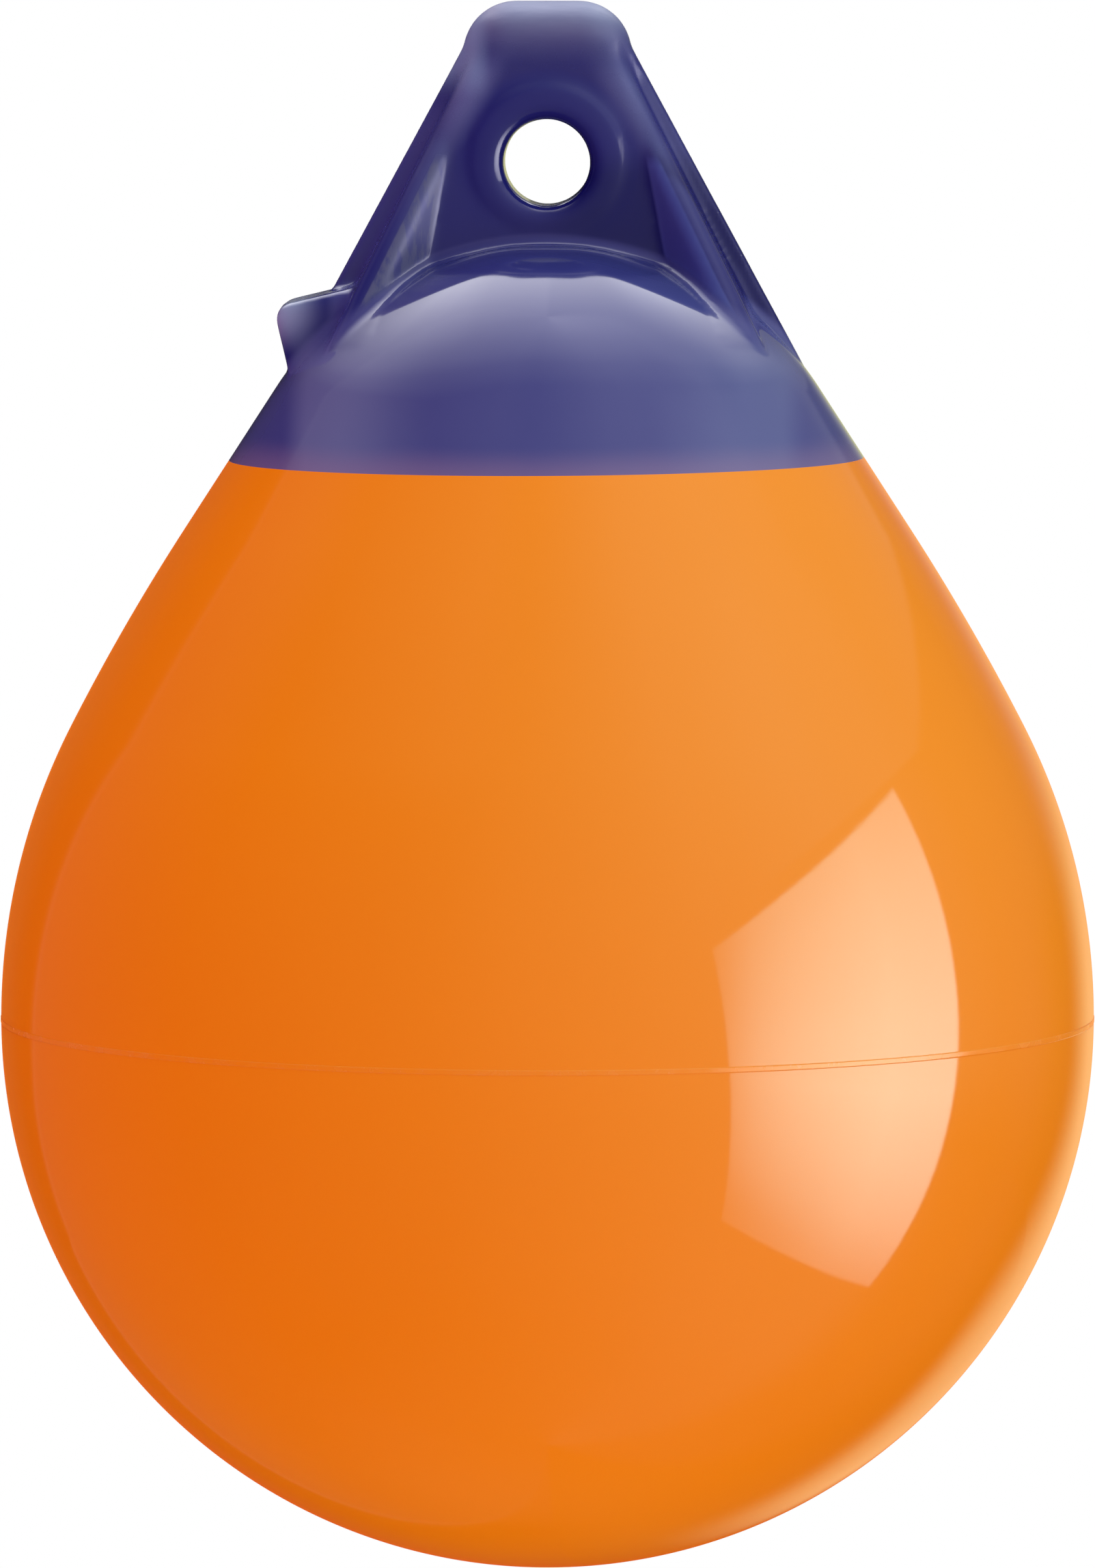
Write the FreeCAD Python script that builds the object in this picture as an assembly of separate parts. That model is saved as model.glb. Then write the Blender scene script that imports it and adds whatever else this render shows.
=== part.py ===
import FreeCAD, Part
import math
import os

# Inflatable marker buoy: a hollow orange drop with a blue rope head fused on top.
# Millimetres. The origin is the middle of the rope eye, Z points up, Y runs through the eye.

# Driving dimensions of the inflated body
BODY_D = 203.2
BELLY_HEIGHT = 102.45
SHOULDER_R = 119.2
SHOULDER_ANGLE = 27.08
FLANK_R = 412.8
CONE_ANGLE = 32.91
DOME_R = 60.0
DOME_TOP_Z = -14.5
WALL = 3.0
SEAM_WIDTH = 1.1
SEAM_RAISE = 0.3

# Where the blue moulding ends and the orange one begins, a plane leaning a little to one side
COLOUR_Z = -55.0
COLOUR_TILT = 0.3

# Rope head
CAP_TOP_Z = 29.7
CAP_FLAT = 11.6
CAP_CORNER_R = 9.8
CAP_STEP_Z = 21.6
CAP_HALF = 7.0
CAP_EDGE_R = 6.6
PLATE_DRAFT = 0.05
RAMP_FOOT_Z = 14.5
RAMP_X = 16.5
RAMP_TOP_Y = 3.2
FIN_HALF = 1.6
FIN_X0 = 22.7
FIN_Z0 = 8.0
FIN_SLOPE = 0.5417
RIDGE_TOP_X = 13.1
RIDGE_SLOPE = 0.4895
RIDGE_TIP_X = 41.4
RIDGE_TIP_Y = 25.3
RIDGE_CREST_R = 2.8
RIDGE_DRAFT = 0.05
FACET_X = 18.3
FACET_Z = 0.8
FACET_FOOT_X = 22.2
FACET_FOOT_Z = -20.0
FOOT_R = 1.6

# Rope eye
EYE_R = 8.0
EYE_MOUTH_R = 10.7
RING_HALF = 8.95
RING_FACE_R = 12.9
RING_FACE_TILT = 4.0
RING_WALL_TILT = 45.0
RING_ROUND = 3.05
RING_FOOT_R = 2.4

# Inflation valve boss on the left shoulder of the head, placed round the middle of the dome
VALVE_LEAN = 13.2
VALVE_ANGLE = 40.12
VALVE_STAND = 3.94
BOSS_HALF = 11.5
BOSS_ABOVE = 7.0
BOSS_BELOW = 12.0
BOSS_DEPTH = 18.9
BOSS_TOP_SLOPE = 0.24
BOSS_EDGE_R = 1.2
BOSS_CORNER_R = 3.0

# Soft valve body and its slotted plug
BUSH_R = 4.0
BUSH_LEN = 15.0
PLUG_R = 2.0
PLUG_LEN = 10.0
PLUG_HEAD_R = 2.7
PLUG_HEAD_H = 1.6
PLUG_GAP = 0.3
SLOT_W = 0.9
SLOT_DEPTH = 0.9

FAR = 400.0
V = FreeCAD.Vector


def arc(cx, cz, radius, deg_from, deg_to):
    # an arc in the XZ plane, angles measured up from +X
    pts = []
    for share in (0.0, 0.5, 1.0):
        angle = math.radians(deg_from + (deg_to - deg_from) * share)
        pts.append(V(cx + radius * math.cos(angle), 0, cz + radius * math.sin(angle)))
    return Part.Arc(pts[0], pts[1], pts[2]).toShape()


def straight(a, b):
    return Part.LineSegment(a, b).toShape()


def end_of(edge):
    return edge.valueAt(edge.LastParameter)


def start_of(edge):
    return edge.valueAt(edge.FirstParameter)


def quarter_ellipse(low, wide):
    # from the lowest point on the axis up to the widest point, flat at one end, upright at the other
    curve = Part.BezierCurve()
    curve.setPoles([low, V(wide.x, 0, low.z), wide])
    curve.setWeight(2, math.sqrt(0.5))
    return curve.toShape()


def equator_z():
    # height of the widest ring, worked out by hanging the body from the top of its dome
    turn = math.radians(SHOULDER_ANGLE)
    lean = math.radians(CONE_ANGLE)
    radius = BODY_D / 2.0
    cx = radius - SHOULDER_R + (SHOULDER_R - FLANK_R) * math.cos(turn)
    cz = (SHOULDER_R - FLANK_R) * math.sin(turn)
    reach = cx * math.cos(lean) + cz * math.sin(lean) + FLANK_R
    dome_z = (reach - DOME_R) / math.sin(lean)
    return DOME_TOP_Z - DOME_R - dome_z


def drop_solid(inset):
    # the whole drop shape, with every wall moved inwards by the inset
    radius = BODY_D / 2.0
    ze = equator_z()
    turn = math.radians(SHOULDER_ANGLE)
    c1 = radius - SHOULDER_R
    c2x = c1 + (SHOULDER_R - FLANK_R) * math.cos(turn)
    c2z = ze + (SHOULDER_R - FLANK_R) * math.sin(turn)
    dome_z = DOME_TOP_Z - DOME_R
    shoulder = arc(c1, ze, SHOULDER_R - inset, 0, SHOULDER_ANGLE)
    flank = arc(c2x, c2z, FLANK_R - inset, SHOULDER_ANGLE, CONE_ANGLE)
    dome = arc(0, dome_z, DOME_R - inset, CONE_ANGLE, 90)
    cone = straight(end_of(flank), start_of(dome))
    low = V(0, 0, ze - BELLY_HEIGHT + inset)
    belly = quarter_ellipse(low, V(radius - inset, 0, ze))
    axis = straight(V(0, 0, DOME_TOP_Z - inset), low)
    edges = Part.sortEdges([belly, shoulder, flank, cone, dome, axis])[0]
    face = Part.Face(Part.Wire(edges))
    return face.revolve(V(0, 0, 0), V(0, 0, 1), 360)


def beyond(point, normal):
    # everything on the far side of a plane, as one very large block
    block = Part.makeBox(2 * FAR, 2 * FAR, FAR, V(-FAR, -FAR, 0))
    block.Placement = FreeCAD.Placement(point, FreeCAD.Rotation(V(0, 0, 1), normal))
    return block


def colour_normal():
    tilt = math.radians(COLOUR_TILT)
    return V(-math.sin(tilt), 0, math.cos(tilt))


def prism_xz(points, half):
    # a flat slab with the given outline in XZ, equally thick on both sides of the middle plane
    pts = [V(x, -half, z) for x, z in points]
    face = Part.Face(Part.makePolygon(pts + [pts[0]]))
    return face.extrude(V(0, 2 * half, 0))


def fin_x(z):
    return FIN_X0 + FIN_SLOPE * (FIN_Z0 - z)


def ridge_x(z):
    return RIDGE_TOP_X + RIDGE_SLOPE * (CAP_STEP_Z - 0.4 - z)


def plate_y(z):
    return CAP_HALF + PLATE_DRAFT * (CAP_STEP_Z - z)


def soften(shape, radius, wanted):
    # rounds the wanted edges, and leaves them sharp where a changed size has no room for it
    edges = [e for e in shape.Edges if wanted(e)]
    if not edges:
        return shape
    try:
        rounded = shape.makeFillet(radius, edges)
        if rounded.isValid() and rounded.Volume > 0:
            return rounded
    except Part.OCCError:
        pass
    return shape


def cap_edges(half, bottom):
    # outline of the cap: flat top, two big corners, then straight down to the bottom
    cx = CAP_FLAT / 2.0
    cz = CAP_TOP_Z - CAP_CORNER_R
    low = math.degrees(math.asin(max(-0.9, min(0.9, (bottom - cz) / CAP_CORNER_R))))
    right = arc(cx, cz, CAP_CORNER_R, low, 90)
    left = arc(-cx, cz, CAP_CORNER_R, 90, 180 - low)
    top = straight(end_of(right), start_of(left))
    base = straight(end_of(left), start_of(right))
    wire = Part.Wire(Part.sortEdges([right, top, left, base])[0])
    wire.translate(V(0, -half, 0))
    return wire


def cap():
    wire = cap_edges(CAP_HALF, CAP_STEP_Z)
    slab = Part.Face(wire).extrude(V(0, 2 * CAP_HALF, 0))

    def on_outline(edge):
        box = edge.BoundBox
        flat = box.YLength < 0.01
        return flat and box.ZMax > CAP_STEP_Z + 0.1
    return soften(slab, CAP_EDGE_R, on_outline)


def head_outline(half):
    # slab with the outline of the whole head: the cap's round corners over the straight fin edges
    foot_z = DOME_TOP_Z - DOME_R * 0.6
    turn_z = CAP_STEP_Z - 0.3
    web = prism_xz([
        (fin_x(foot_z), foot_z), (fin_x(turn_z), turn_z),
        (-fin_x(turn_z), turn_z), (-fin_x(foot_z), foot_z),
    ], half)
    crown = Part.Face(cap_edges(half, turn_z - 0.1)).extrude(V(0, 2 * half, 0))
    return web.fuse(crown).removeSplitter()


def fin_web():
    # thin web in the middle plane, its free edges slightly rounded
    def on_rim(edge):
        box = edge.BoundBox
        return box.YLength < 0.01 and box.ZLength > 30
    return soften(head_outline(FIN_HALF), FIN_HALF * 0.55, on_rim)


def cap_ramps():
    # sloping underside of the cap beside each ridge, kept within the cap's rounded plan
    pts = [
        V(-RAMP_X, -RAMP_TOP_Y, CAP_STEP_Z), V(-RAMP_X, RAMP_TOP_Y, CAP_STEP_Z),
        V(-RAMP_X, FIN_HALF, RAMP_FOOT_Z), V(-RAMP_X, -FIN_HALF, RAMP_FOOT_Z),
    ]
    block = Part.Face(Part.makePolygon(pts + [pts[0]])).extrude(V(2 * RAMP_X, 0, 0))
    return block.common(head_outline(CAP_HALF))


def outer_plane():
    # steep side of a front right ridge: a point on it and its outward normal
    rise = (RIDGE_TIP_Y - plate_y(15.0)) / (15.0 - ridge_foot_z())
    point = V(ridge_x(15.0), plate_y(15.0), 15.0)
    normal = V(1.0, RIDGE_DRAFT, RIDGE_SLOPE + RIDGE_DRAFT * rise)
    normal.normalize()
    return point, normal


def ridge_foot_z():
    return CAP_STEP_Z - 0.4 - (RIDGE_TIP_X - RIDGE_TOP_X) / RIDGE_SLOPE


def facet_plane():
    # inner side of the ridge, from its foot line on the plate up to the crest
    a = V(FACET_X, plate_y(FACET_Z), FACET_Z)
    b = V(FACET_FOOT_X, plate_y(FACET_FOOT_Z), FACET_FOOT_Z)
    c = V(RIDGE_TIP_X, RIDGE_TIP_Y, ridge_foot_z())
    normal = (b - a).cross(c - a)
    if normal.y < 0:
        normal = normal * -1
    normal.normalize()
    return a, normal


def quarter_block():
    # room for the front right quarter, with spare material behind both middle planes
    low = DOME_TOP_Z - DOME_R * 0.6
    block = Part.makeBox(120, 100, CAP_STEP_Z - low, V(-40, -40, low))
    point, normal = outer_plane()
    return block.cut(beyond(point, normal))


def quarter_only(block):
    low = DOME_TOP_Z - DOME_R * 0.6
    return block.common(Part.makeBox(80, 60, CAP_STEP_Z - low, V(0, 0, low)))


def runs_along_crest(edge, block):
    # the long edge furthest from both middle planes
    if edge.BoundBox.ZLength < 0.6 * block.BoundBox.ZLength:
        return False
    mid = edge.valueAt((edge.FirstParameter + edge.LastParameter) / 2.0)
    return mid.x > 5 and mid.y > 3


def quarter_plate():
    # front right quarter of the plate, with its outer edge rounded like the ridge crest
    block = quarter_block()
    face_normal = V(0, 1, PLATE_DRAFT)
    face_normal.normalize()
    block = block.cut(beyond(V(0, plate_y(0), 0), face_normal))
    block = soften(block, RIDGE_CREST_R, lambda e: runs_along_crest(e, block))
    return quarter_only(block)


def quarter_ridge():
    block = quarter_block()
    point, normal = facet_plane()
    block = block.cut(beyond(point, normal))
    block = soften(block, RIDGE_CREST_R, lambda e: runs_along_crest(e, block))
    return quarter_only(block)


def buttress():
    # plate with four ridges, one quarter mirrored to the other three
    quarter = quarter_plate().fuse(quarter_ridge())
    right = quarter.fuse(quarter.mirror(V(0, 0, 0), V(0, 1, 0)))
    whole = right.fuse(right.mirror(V(0, 0, 0), V(1, 0, 0)))
    return whole.removeSplitter()


def ring_profile():
    # one side of the ring from the axis outwards: flat face, rounded shoulder, hollow foot
    top = math.radians(RING_FACE_TILT)
    steep = math.radians(RING_WALL_TILT)
    edge_y = RING_HALF - (RING_FACE_R - EYE_MOUTH_R) * math.tan(top)
    edges = [straight(V(0, RING_HALF, 0), V(EYE_MOUTH_R, RING_HALF, 0))]
    edges.append(straight(V(EYE_MOUTH_R, RING_HALF, 0), V(RING_FACE_R, edge_y, 0)))
    cx = RING_FACE_R - RING_ROUND * math.sin(top)
    cy = edge_y - RING_ROUND * math.cos(top)
    pts = []
    for tilt in (top, (top + steep) / 2.0, steep):
        pts.append(V(cx + RING_ROUND * math.sin(tilt), cy + RING_ROUND * math.cos(tilt), 0))
    edges.append(Part.Arc(pts[0], pts[1], pts[2]).toShape())
    fx = pts[2].x + RING_FOOT_R * math.sin(steep)
    fy = pts[2].y + RING_FOOT_R * math.cos(steep)
    foot = [pts[2]]
    for tilt in (steep / 2.0, 0.0):
        foot.append(V(fx - RING_FOOT_R * math.sin(tilt), fy - RING_FOOT_R * math.cos(tilt), 0))
    edges.append(Part.Arc(foot[0], foot[1], foot[2]).toShape())
    edges.append(straight(foot[2], V(foot[2].x, 0, 0)))
    edges.append(straight(V(foot[2].x, 0, 0), V(0, 0, 0)))
    edges.append(straight(V(0, 0, 0), V(0, RING_HALF, 0)))
    return edges


def eye_ring():
    # raised ring round the eye on both faces of the plate
    half = Part.Face(Part.Wire(ring_profile())).revolve(V(0, 0, 0), V(0, 1, 0), 360)
    return half.fuse(half.mirror(V(0, 0, 0), V(0, 1, 0))).removeSplitter()


def eye_cutter():
    # the eye with its widely rounded mouths
    flare = EYE_MOUTH_R - EYE_R
    core = RING_HALF - flare
    drum = Part.makeCylinder(EYE_MOUTH_R, 80, V(0, -40, 0), V(0, 1, 0))
    hole = Part.makeCylinder(EYE_R, 80, V(0, -40, 0), V(0, 1, 0))
    lips = Part.makeCylinder(EYE_MOUTH_R, 2 * core, V(0, -core, 0), V(0, 1, 0))
    for side in (-1, 1):
        ring = Part.makeTorus(EYE_MOUTH_R, flare, V(0, side * core, 0), V(0, 1, 0))
        lips = lips.fuse(ring)
    return drum.cut(lips).fuse(hole)


def valve_dir():
    lean = math.radians(VALVE_LEAN)
    return V(-math.cos(lean), 0, -math.sin(lean))


def valve_mouth():
    # middle of the boss face, a little outside the dome
    angle = math.radians(VALVE_ANGLE)
    reach = DOME_R + VALVE_STAND
    return V(-reach * math.cos(angle), 0, DOME_TOP_Z - DOME_R + reach * math.sin(angle))


def valve_boss():
    # block on the left shoulder, its outer face square to the valve
    lean = math.radians(VALVE_LEAN)
    up = V(-math.sin(lean), 0, math.cos(lean))
    mouth = valve_mouth()
    top = mouth + up * BOSS_ABOVE
    low = mouth - up * BOSS_BELOW
    back = mouth.x + BOSS_DEPTH
    inner = V(back, 0, top.z + BOSS_TOP_SLOPE * (back - top.x))
    base = V(back, 0, low.z)
    pts = [(inner.x, inner.z), (top.x, top.z), (low.x, low.z), (base.x, base.z)]
    block = prism_xz(pts, BOSS_HALF)

    def top_corner(edge):
        mid = edge.BoundBox.Center
        across = edge.BoundBox.YLength > BOSS_HALF
        return across and (mid - top).Length < 0.5
    block = soften(block, BOSS_CORNER_R, top_corner)

    def rim(edge):
        return edge.BoundBox.YLength < 0.01 and not along_base(edge, low, inner)
    return soften(block, BOSS_EDGE_R, rim)


def along_base(edge, low, inner):
    # edges that end up buried in the body stay sharp
    box = edge.BoundBox
    at_back = abs(box.XMax - inner.x) < 0.01 and box.XLength < 0.01
    return at_back or box.ZMax < low.z + 0.01


def valve_cylinder(radius, start, length):
    # a cylinder along the valve, start measured inwards from the boss face
    out = valve_dir()
    return Part.makeCylinder(radius, length, valve_mouth() - out * start, out * -1)


def make_rope_hold():
    outer = drop_solid(0)
    inner = drop_solid(WALL)
    plane = V(0, 0, COLOUR_Z)
    head = fin_web().fuse([buttress(), cap(), cap_ramps(), eye_ring(), valve_boss()])
    solid = outer.fuse(head).removeSplitter()
    solid = soften(solid, FOOT_R, meets_dome)
    solid = solid.cut(inner)
    solid = solid.cut(beyond(plane, colour_normal() * -1))
    solid = solid.cut(eye_cutter())
    return solid.cut(valve_cylinder(BUSH_R, -5, 40))


def meets_dome(edge):
    # the line where the rope head stands on the dome
    middle = V(0, 0, DOME_TOP_Z - DOME_R)
    span = edge.LastParameter - edge.FirstParameter
    for step in range(9):
        spot = edge.valueAt(edge.FirstParameter + span * step / 8.0)
        off = abs((spot - middle).Length - DOME_R)
        if off > 0.02 or spot.z < DOME_TOP_Z - 0.6 * DOME_R:
            return False
    return True


def make_hull():
    outer = drop_solid(0)
    ze = equator_z()
    bead_r = (SEAM_WIDTH ** 2 / 4.0 + SEAM_RAISE ** 2) / (2 * SEAM_RAISE)
    bead = Part.makeTorus(BODY_D / 2.0 + SEAM_RAISE - bead_r, bead_r, V(0, 0, ze))
    solid = outer.fuse(bead).cut(drop_solid(WALL))
    return solid.cut(beyond(V(0, 0, COLOUR_Z), colour_normal()))


def make_valve_body():
    body = valve_cylinder(BUSH_R, 0, BUSH_LEN)
    collar = valve_cylinder(PLUG_HEAD_R + PLUG_GAP, 0, PLUG_HEAD_H + 0.3)
    bore = valve_cylinder(PLUG_R + PLUG_GAP, 0, BUSH_LEN)
    return body.cut(collar).cut(bore)


def make_valve_screw():
    out = valve_dir()
    sink = 0.3
    head = valve_cylinder(PLUG_HEAD_R, sink, PLUG_HEAD_H)
    stem = valve_cylinder(PLUG_R, sink, PLUG_LEN)
    plug = head.fuse(stem)
    slot = Part.makeBox(SLOT_DEPTH * 2, 2 * PLUG_HEAD_R + 1, SLOT_W,
                        V(-SLOT_DEPTH, -PLUG_HEAD_R - 0.5, -SLOT_W / 2.0))
    spot = valve_mouth() - out * sink
    slot.Placement = FreeCAD.Placement(spot, FreeCAD.Rotation(V(0, 1, 0), -VALVE_LEAN))
    return plug.cut(slot)


def main():
    os.makedirs("parts", exist_ok=True)
    make_rope_hold().exportStep("parts/rope_hold.step")
    make_hull().exportStep("parts/hull.step")
    make_valve_body().exportStep("parts/valve_body.step")
    make_valve_screw().exportStep("parts/valve_screw.step")


main()
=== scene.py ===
import bmesh
import bpy
import math
import numpy as np
from mathutils import Matrix, Vector


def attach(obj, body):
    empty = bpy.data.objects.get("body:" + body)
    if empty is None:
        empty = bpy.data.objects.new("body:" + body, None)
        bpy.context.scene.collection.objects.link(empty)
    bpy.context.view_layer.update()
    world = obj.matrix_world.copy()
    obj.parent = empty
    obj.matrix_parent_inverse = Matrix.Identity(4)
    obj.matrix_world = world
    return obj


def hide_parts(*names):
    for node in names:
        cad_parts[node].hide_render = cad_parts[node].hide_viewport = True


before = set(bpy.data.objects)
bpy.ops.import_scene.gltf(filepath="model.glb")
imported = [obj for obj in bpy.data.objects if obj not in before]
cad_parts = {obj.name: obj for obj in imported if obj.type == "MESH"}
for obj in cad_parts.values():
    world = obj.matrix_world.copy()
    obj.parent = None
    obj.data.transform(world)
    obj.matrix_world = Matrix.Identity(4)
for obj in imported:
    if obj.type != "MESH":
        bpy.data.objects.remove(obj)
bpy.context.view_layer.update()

# Lengths are in metres, in the frame of the CAD: origin in the rope eye, +Z up, +Y along the eye.


# ---------------------------------------------------------------- sizes

# The drop, from the bottom up: a belly, the arcs of shoulder and flank, a straight cone, a dome
BODY_R = 0.1016
BELLY = 0.10245                       # from the widest place down to the bottom
EQUATOR_Z = -0.15906
SHOULDER_R = 0.1192
FLANK_R = 0.4128
TURN = math.radians(27.08)            # where the shoulder goes over into the flank
LEAN = math.radians(32.91)            # where the flank goes over into the cone
DOME_R = 0.060
DOME_Z = -0.0745
WALL = 0.003
AROUND = 360                          # points in a loop round the drop
BELLY_ROWS, SHOULDER_ROWS, FLANK_ROWS = 84, 34, 22
OUTER_FINE, INNER_FINE = 1.25, 0.22   # times those rows
TURNS = np.arange(AROUND) * 2 * math.pi / AROUND
CONE_SLOPE = -math.tan(LEAN)
SHOULDER_MIDDLE = (BODY_R - SHOULDER_R, EQUATOR_Z)
FLANK_MIDDLE = (SHOULDER_MIDDLE[0] + (SHOULDER_R - FLANK_R) * math.cos(TURN),
                EQUATOR_Z + (SHOULDER_R - FLANK_R) * math.sin(TURN))

# The mould seam round the widest place
SEAM_RISE = 0.00009
SEAM_EDGE = 0.00056                   # half its width
SEAM_FLANK = 0.00022                  # width of its sloping sides
SEAM_SOFT = 0.00012                   # width over which its dull look fades
SEAM_STEPS_MM = [0.08, 0.2, 0.3, 0.36, 0.41, 0.46, 0.51, 0.57, 0.66, 0.85, 1.2]
SEAM_CLEAR = (0.0014, 0.0018)         # no plain row this close below it or above it

# The plane where the two colours meet
COLOUR_Z = -0.055
COLOUR_TILT = math.radians(0.3)

# The dome swells a little in front of the plate and behind it
SWELL = (0.134, 0.45, 0.99)           # angles from its top where that starts, is highest and ends
SWELL_SIDE = (0.3, 1.05)              # headings away from the Y axis between which it fades
SWELL_SIZE = 0.0018

# The rope head. The lines are those of the ridge at +X and +Y, top and foot; the other three mirror it
CUT_Z = -0.047                        # plain collars take over below this
COLLAR_GAP = 0.0006
HEAD_GRAIN = 0.00072                  # size of its even quads
SETTLE_ROUNDS, CREST_ROUNDS, FLOW_ROUNDS, NORMAL_ROUNDS = 8, 26, 5, 2
CREST = ((0.0131, 0.0073, 0.0212), (0.0414, 0.0253, -0.0366))
CREASE = ((0.0183, 0.0080, 0.0008), (0.0222, 0.0091, -0.0200))
CREASE_X, CREASE_Z = CREASE[0][0], CREASE[0][2]
CREASE_STEP = 0.1875                  # how far the crease moves out for each metre down
STEEPER = 0.07                        # how much steeper the inner sides of the ridges stand
FACET_SPOT = (0.0183, 0.00804, 0.0008)   # a spot on the ridge's flat inner side, and its direction
FACET_WAY = (-0.688, 0.719, -0.093)
VALVE_LEAN = math.radians(13.2)
VALVE_REACH = 0.06394                 # from the dome's centre to the mouth of the valve's bore
VALVE_RISE = math.radians(40.12)
VALVE_MOUTH = np.array([-VALVE_REACH * math.cos(VALVE_RISE), 0, DOME_Z + VALVE_REACH * math.sin(VALVE_RISE)])
VALVE_LINE = np.array([-math.cos(VALVE_LEAN), 0, -math.sin(VALVE_LEAN)])


# ---------------------------------------------------------------- small helpers

def blend(value, low, high):
    """0 at low, 1 at high, smooth between."""
    share = np.clip((value - low) / (high - low), 0, 1)
    return share * share * (3 - 2 * share)


def blend_slope(value, low, high):
    share = np.clip((value - low) / (high - low), 0, 1)
    return 6 * share * (1 - share) / (high - low)


def loop_at(turn, r, z, nr, nz):
    """Spots at the given turns round the Z axis, and their outward directions."""
    spots = np.stack([r * np.cos(turn), r * np.sin(turn), z + 0 * turn], -1)
    outs = np.stack([nr * np.cos(turn), nr * np.sin(turn), nz + 0 * turn], -1)
    return spots, outs


def band_faces(first, second):
    """Quads between two loops, given where each starts."""
    i = np.arange(AROUND)
    j = (i + 1) % AROUND
    return np.stack([first + i, first + j, second + j, second + i], -1)


def build(name, spots, faces, normals, material):
    """Object from point, polygon and corner normal arrays."""
    mesh = bpy.data.meshes.new(name)
    mesh.vertices.add(len(spots))
    mesh.vertices.foreach_set("co", np.asarray(spots, np.float32).ravel())
    counts = np.array([len(f) for f in faces])
    corners = np.concatenate([np.asarray(f).ravel() for f in faces])
    mesh.loops.add(len(corners))
    mesh.loops.foreach_set("vertex_index", corners.astype(np.int32))
    mesh.polygons.add(len(faces))
    mesh.polygons.foreach_set("loop_start", np.concatenate([[0], np.cumsum(counts)[:-1]]).astype(np.int32))
    mesh.update(calc_edges=True)
    mesh.validate()
    mesh.polygons.foreach_set("use_smooth", np.ones(len(mesh.polygons), bool))
    mesh.normals_split_custom_set(np.asarray(normals, float).tolist())
    thing = bpy.data.objects.new(name, mesh)
    bpy.context.scene.collection.objects.link(thing)
    mesh.materials.append(material)
    return thing


# ---------------------------------------------------------------- shape of the drop

def cone_foot(inset):
    """Radius and height where the straight cone begins."""
    return (FLANK_MIDDLE[0] + (FLANK_R - inset) * math.cos(LEAN),
            FLANK_MIDDLE[1] + (FLANK_R - inset) * math.sin(LEAN))


def cone_radius(inset, z):
    foot_r, foot_z = cone_foot(inset)
    return foot_r + (z - foot_z) * CONE_SLOPE


def colour_heights(inset):
    """Heights round the cone where the two colours meet."""
    lean = np.cos(TURNS) * math.tan(COLOUR_TILT)
    return COLOUR_Z + cone_radius(inset, COLOUR_Z) * lean / (1 - CONE_SLOPE * lean)


def cone_loops(inset, start_z, count):
    """Loops on the straight cone from a height up to the colour line."""
    end_z = colour_heights(inset)
    heights = [start_z + share * (end_z - start_z) for share in np.linspace(0, 1, count)]
    return [loop_at(TURNS, cone_radius(inset, z), z, math.cos(LEAN), math.sin(LEAN)) for z in heights]


def seam_rows():
    """Rows of the drop across the mould seam."""
    rows = []
    for step in [-v for v in reversed(SEAM_STEPS_MM)] + [0.0] + SEAM_STEPS_MM:
        dz = step / 1000
        if dz < 0:
            r, slope = BODY_R * math.sqrt(1 - (dz / BELLY) ** 2), -dz / BELLY
        else:
            r, slope = BODY_R - SHOULDER_R + math.sqrt(SHOULDER_R ** 2 - dz ** 2), -dz / SHOULDER_R
        share = min(1.0, max(0.0, (SEAM_EDGE - abs(dz)) / SEAM_FLANK))
        rise = SEAM_RISE * share * share * (3 - 2 * share)
        slope -= math.copysign(SEAM_RISE * 6 * share * (1 - share) / SEAM_FLANK, dz)
        size = math.hypot(1, slope)
        rows.append((r + rise, EQUATOR_Z + dz, 1 / size, -slope / size))
    return rows


def drop_rows(inset, fine, seam):
    """Rows (radius, height, outward r, outward z) from the bottom of the drop up to the cone."""
    rows = []
    for t in np.linspace(-math.pi / 2, 0, int(BELLY_ROWS * fine), endpoint=False)[1:]:
        if seam and abs((BELLY - inset) * math.sin(t)) < SEAM_CLEAR[0]:
            continue
        nr, nz = math.cos(t) * (BELLY - inset), math.sin(t) * (BODY_R - inset)
        size = math.hypot(nr, nz)
        rows.append(((BODY_R - inset) * math.cos(t), EQUATOR_Z + (BELLY - inset) * math.sin(t),
                     nr / size, nz / size))
    if seam:
        rows += seam_rows()
    for (middle_r, middle_z), radius, start, end, count in (
            (SHOULDER_MIDDLE, SHOULDER_R, 0, TURN, SHOULDER_ROWS),
            (FLANK_MIDDLE, FLANK_R, TURN, LEAN, FLANK_ROWS)):
        for t in np.linspace(start, end, int(count * fine), endpoint=False):
            if seam and start == 0 and radius * math.sin(t) < SEAM_CLEAR[1]:
                continue
            rows.append((middle_r + (radius - inset) * math.cos(t), middle_z + (radius - inset) * math.sin(t),
                         math.cos(t), math.sin(t)))
    return rows


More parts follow.
